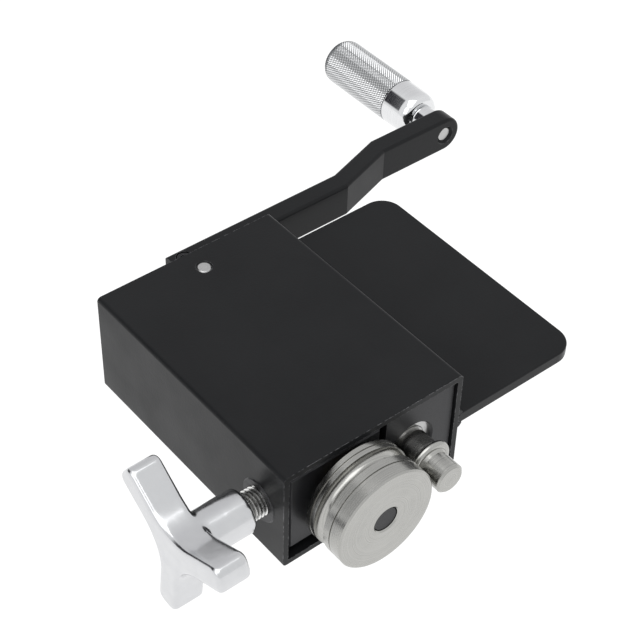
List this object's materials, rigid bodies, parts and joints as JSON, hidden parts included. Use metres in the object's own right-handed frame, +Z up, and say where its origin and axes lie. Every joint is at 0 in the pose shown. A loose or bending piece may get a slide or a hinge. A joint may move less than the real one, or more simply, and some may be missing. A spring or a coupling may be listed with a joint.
{
  "type": "tube bead roller",
  "caption": "Hand-cranked tube bead roller in a rectangular housing, with a vise plate, a grooved wheel, a beaded roller, a three-wing adjusting knob and a crank with a knurled grip.",
  "frame": {"origin": "middle of the vise plate's underside", "axes": "+Z up, square to the vise plate; +X out of the housing towards the plate's free edge; +Y along both roll axes, from the rolls towards the crank"},
  "size_m": [0.2077, 0.1928, 0.0476],
  "materials": {
    "black_coating": "satin black powder coat",
    "blackened_steel": "black oxide, oiled",
    "turned_steel": "turned and polished",
    "ground_steel": "ground",
    "zinc_steel": "bright zinc",
    "bronze": "sintered bronze, oiled",
    "polished_aluminium": "tumbled and polished casting",
    "knurled_aluminium": "turned, diamond knurled"
  },
  "bodies": {
    "housing": {"housing_tube": "black_coating", "vise_plate": "black_coating", "plate_welds": "black_coating", "drive_block": "blackened_steel", "drive_block_screws": "blackened_steel", "front_bearing_outer_ring": "ground_steel", "front_bearing_balls": "ground_steel", "front_bearing_shield": "ground_steel", "rear_bush": "bronze", "pivot_pin": "ground_steel", "screw_bush": "blackened_steel"},
    "swing": {"swing_block": "blackened_steel", "pivot_bushes": "bronze", "axle_bushes": "bronze", "pressure_pad": "ground_steel"},
    "wheel": {"bead_wheel": "turned_steel", "wheel_axle": "blackened_steel", "wheel_washer": "turned_steel", "axle_retaining_ring": "blackened_steel"},
    "drive": {"drive_spindle": "ground_steel", "bead_roller": "turned_steel", "roller_grub_screw": "blackened_steel", "front_bearing_inner_ring": "ground_steel", "spindle_collar": "turned_steel", "collar_grub_screw": "blackened_steel", "crank_arm": "black_coating", "crank_clamp_screw": "blackened_steel", "grip_spacer": "knurled_aluminium", "grip_pin": "ground_steel"},
    "grip": {"crank_grip": "knurled_aluminium"},
    "foot": {"pressure_foot": "ground_steel"},
    "adjuster": {"adjusting_screw": "zinc_steel", "knob": "polished_aluminium", "knob_grub_screw": "blackened_steel"}
  },
  "joints": [
    {"name": "crank_spin", "type": "hinge", "parent": "housing", "child": "drive", "pos_m": [-0.0453, 0, 0.00225], "axis": [0, 1, 0], "continuous": true},
    {"name": "grip_spin", "type": "hinge", "parent": "drive", "child": "grip", "pos_m": [0.0692, 0.0785, 0.00225], "axis": [0, 1, 0], "continuous": true},
    {"name": "screw_turn", "type": "hinge", "parent": "foot", "child": "adjuster", "pos_m": [-0.0963, -0.0364, 0.00225], "axis": [1, 0, 0], "range_deg": [-288, 273.6]},
    {"name": "foot_slide", "type": "slide", "parent": "housing", "child": "foot", "axis": [1, 0, 0], "range_m": [-0.00101, 0.00096]},
    {"name": "swing_pivot", "type": "hinge", "parent": "housing", "child": "swing", "pos_m": [-0.0602, 0.04, 0.00225], "axis": [0, 0, 1], "range_deg": [-0.76, 0.72]},
    {"name": "wheel_spin", "type": "hinge", "parent": "swing", "child": "wheel", "pos_m": [-0.0709, 0, 0.00225], "axis": [0, 1, 0], "continuous": true}
  ],
  "couplings": [
    {"joint": "foot_slide", "follows": "screw_turn", "m_per_rad": 0.00019894},
    {"joint": "swing_pivot", "follows": "screw_turn", "ratio": 0.002604}
  ]
}
